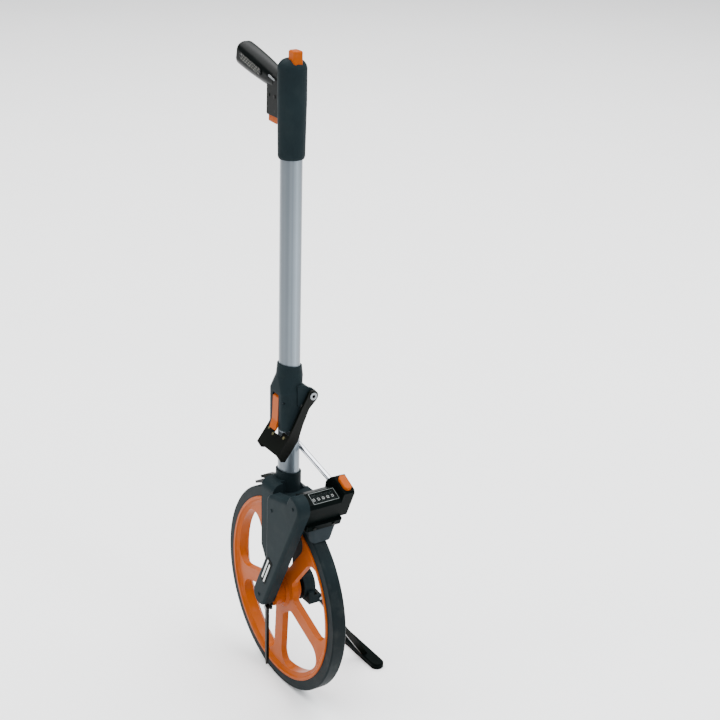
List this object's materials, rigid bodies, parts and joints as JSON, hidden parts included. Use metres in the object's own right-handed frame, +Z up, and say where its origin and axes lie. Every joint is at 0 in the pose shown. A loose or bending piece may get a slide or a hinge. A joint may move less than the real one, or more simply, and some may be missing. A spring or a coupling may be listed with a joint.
{
  "type": "measuring wheel",
  "caption": "Folding surveyor's measuring wheel: spoked orange wheel with rubber tyre, forked frame, belt-driven drum counter, folding tube, brake trigger, side stand and offset grip",
  "frame": {"origin": "point where the tread meets the ground under the axle", "axes": "+X the way the wheel rolls and the side the counter faces, +Y towards the side with the stand, +Z up"},
  "size_m": [0.3182, 0.1957, 0.973],
  "materials": {
    "orange_plastic": "glossy orange moulding",
    "slate_plastic": "satin slate moulding",
    "black_plastic": "black moulding",
    "pale_print": "plain pale bars",
    "drum_plastic": "black drums with white figures",
    "tyre_rubber": "dark rubber",
    "soft_rubber": "black rubber",
    "satin_aluminium": "satin anodised",
    "bright_steel": "plated steel",
    "polished_steel": "polished",
    "dark_paint": "glossy dark olive-black paint",
    "clear_window": "clear"
  },
  "bodies": {
    "frame": {"fork": "slate_plastic", "drive_case": "slate_plastic", "drive_cover": "slate_plastic", "cover_screws": "dark_paint", "label_plate": "black_plastic", "label_bars": "pale_print", "drive_belt": "soft_rubber", "axle": "bright_steel", "axle_nut": "bright_steel", "counter_plate": "black_plastic", "plate_screws": "bright_steel", "tread_guard": "slate_plastic", "counter_case": "black_plastic", "counter_window": "clear_window", "reset_block": "black_plastic", "guide_tube": "polished_steel", "reset_cable": "bright_steel", "lower_tube": "satin_aluminium", "fold_knuckle": "dark_paint", "fold_pin": "bright_steel", "pointer_pin": "bright_steel", "brake_pin": "bright_steel", "stand_pin": "bright_steel"},
    "wheel": {"wheel_disc": "orange_plastic", "tyre": "tyre_rubber", "hub_bearings": "bright_steel", "hub_pulley": "black_plastic"},
    "counter_input": {"counter_shaft": "bright_steel", "counter_pulley": "black_plastic", "drum_units": "drum_plastic"},
    "tens": {"drum_tens": "drum_plastic"},
    "hundreds": {"drum_hundreds": "drum_plastic"},
    "thousands": {"drum_thousands": "drum_plastic"},
    "ten_thousands": {"drum_ten_thousands": "drum_plastic"},
    "upper_frame": {"fold_sleeve": "slate_plastic", "latch_pin": "bright_steel", "upper_tube": "satin_aluminium", "tube_plug": "black_plastic", "handle_housing": "slate_plastic", "grip": "black_plastic", "grip_core": "bright_steel", "grip_pads": "soft_rubber", "handle_trim": "polished_steel", "handle_screws": "bright_steel", "trigger_pin": "bright_steel", "button_spring": "bright_steel"},
    "latch": {"latch": "orange_plastic"},
    "stirrup": {"stirrup": "dark_paint", "stirrup_rivets": "bright_steel"},
    "reset_button": {"reset_button": "orange_plastic"},
    "top_button": {"top_button": "orange_plastic"},
    "trigger": {"trigger": "orange_plastic"},
    "brake": {"brake_arm": "slate_plastic", "brake_shoe": "soft_rubber"},
    "stand": {"stand_leg": "dark_paint", "stand_foot": "dark_paint"},
    "pointer": {"pointer": "dark_paint"}
  },
  "joints": [
    {"name": "wheel_spin", "type": "hinge", "parent": "frame", "child": "wheel", "pos_m": [0, 0, 0.15915], "axis": [0, 1, 0], "continuous": true},
    {"name": "counter_spin", "type": "hinge", "parent": "frame", "child": "counter_input", "pos_m": [0.09854, 0.002, 0.34823], "axis": [0, 1, 0], "continuous": true},
    {"name": "tens_spin", "type": "hinge", "parent": "frame", "child": "tens", "pos_m": [0.09854, 0.002, 0.34823], "axis": [0, 1, 0], "continuous": true},
    {"name": "hundreds_spin", "type": "hinge", "parent": "frame", "child": "hundreds", "pos_m": [0.09854, 0.002, 0.34823], "axis": [0, 1, 0], "continuous": true},
    {"name": "thousands_spin", "type": "hinge", "parent": "frame", "child": "thousands", "pos_m": [0.09854, 0.002, 0.34823], "axis": [0, 1, 0], "continuous": true},
    {"name": "ten_thousands_spin", "type": "hinge", "parent": "frame", "child": "ten_thousands", "pos_m": [0.09854, 0.002, 0.34823], "axis": [0, 1, 0], "continuous": true},
    {"name": "frame_fold", "type": "hinge", "parent": "frame", "child": "upper_frame", "pos_m": [0, 0.026, 0.481], "axis": [-1, 0, 0], "range_deg": [0, 160]},
    {"name": "stirrup_swing", "type": "hinge", "parent": "frame", "child": "stirrup", "pos_m": [0, 0.026, 0.481], "axis": [-1, 0, 0], "range_deg": [0, 110]},
    {"name": "latch_open", "type": "hinge", "parent": "upper_frame", "child": "latch", "pos_m": [0, -0.0158, 0.474], "axis": [-1, 0, 0], "range_deg": [0, 8], "stiffness_Nm_per_rad": 0.5, "springref_deg": -5.73},
    {"name": "reset_press", "type": "slide", "parent": "frame", "child": "reset_button", "axis": [-0.4226, 0, -0.9063], "range_m": [0, 0.003], "stiffness_N_per_m": 400, "springref_m": -0.003},
    {"name": "top_press", "type": "slide", "parent": "upper_frame", "child": "top_button", "axis": [0, 0, -1], "range_m": [0, 0.004], "stiffness_N_per_m": 400, "springref_m": -0.003, "deforming": ["button_spring"]},
    {"name": "trigger_pull", "type": "hinge", "parent": "upper_frame", "child": "trigger", "pos_m": [-0.0255, 0.004, 0.885], "axis": [0, 1, 0], "range_deg": [0, 8], "stiffness_Nm_per_rad": 0.5, "springref_deg": -5.73},
    {"name": "brake_press", "type": "hinge", "parent": "frame", "child": "brake", "pos_m": [-0.026, 0.004, 0.332], "axis": [0, -1, 0], "range_deg": [0, 2.8], "stiffness_Nm_per_rad": 0.2, "springref_deg": -5.73},
    {"name": "stand_swing", "type": "hinge", "parent": "frame", "child": "stand", "pos_m": [0.02, 0.045, 0.141], "axis": [1, 0, 0], "range_deg": [0, 140]},
    {"name": "pointer_swing", "type": "hinge", "parent": "frame", "child": "pointer", "pos_m": [0.004, -0.033, 0.1355], "axis": [0, 1, 0], "range_deg": [-75, 75]}
  ],
  "couplings": [
    {"joint": "counter_spin", "follows": "wheel_spin", "ratio": 1},
    {"joint": "tens_spin", "follows": "wheel_spin", "ratio": 0.1},
    {"joint": "hundreds_spin", "follows": "wheel_spin", "ratio": 0.01},
    {"joint": "thousands_spin", "follows": "wheel_spin", "ratio": 0.001},
    {"joint": "ten_thousands_spin", "follows": "wheel_spin", "ratio": 0.0001},
    {"joint": "brake_press", "follows": "trigger_pull", "ratio": 0.35}
  ]
}
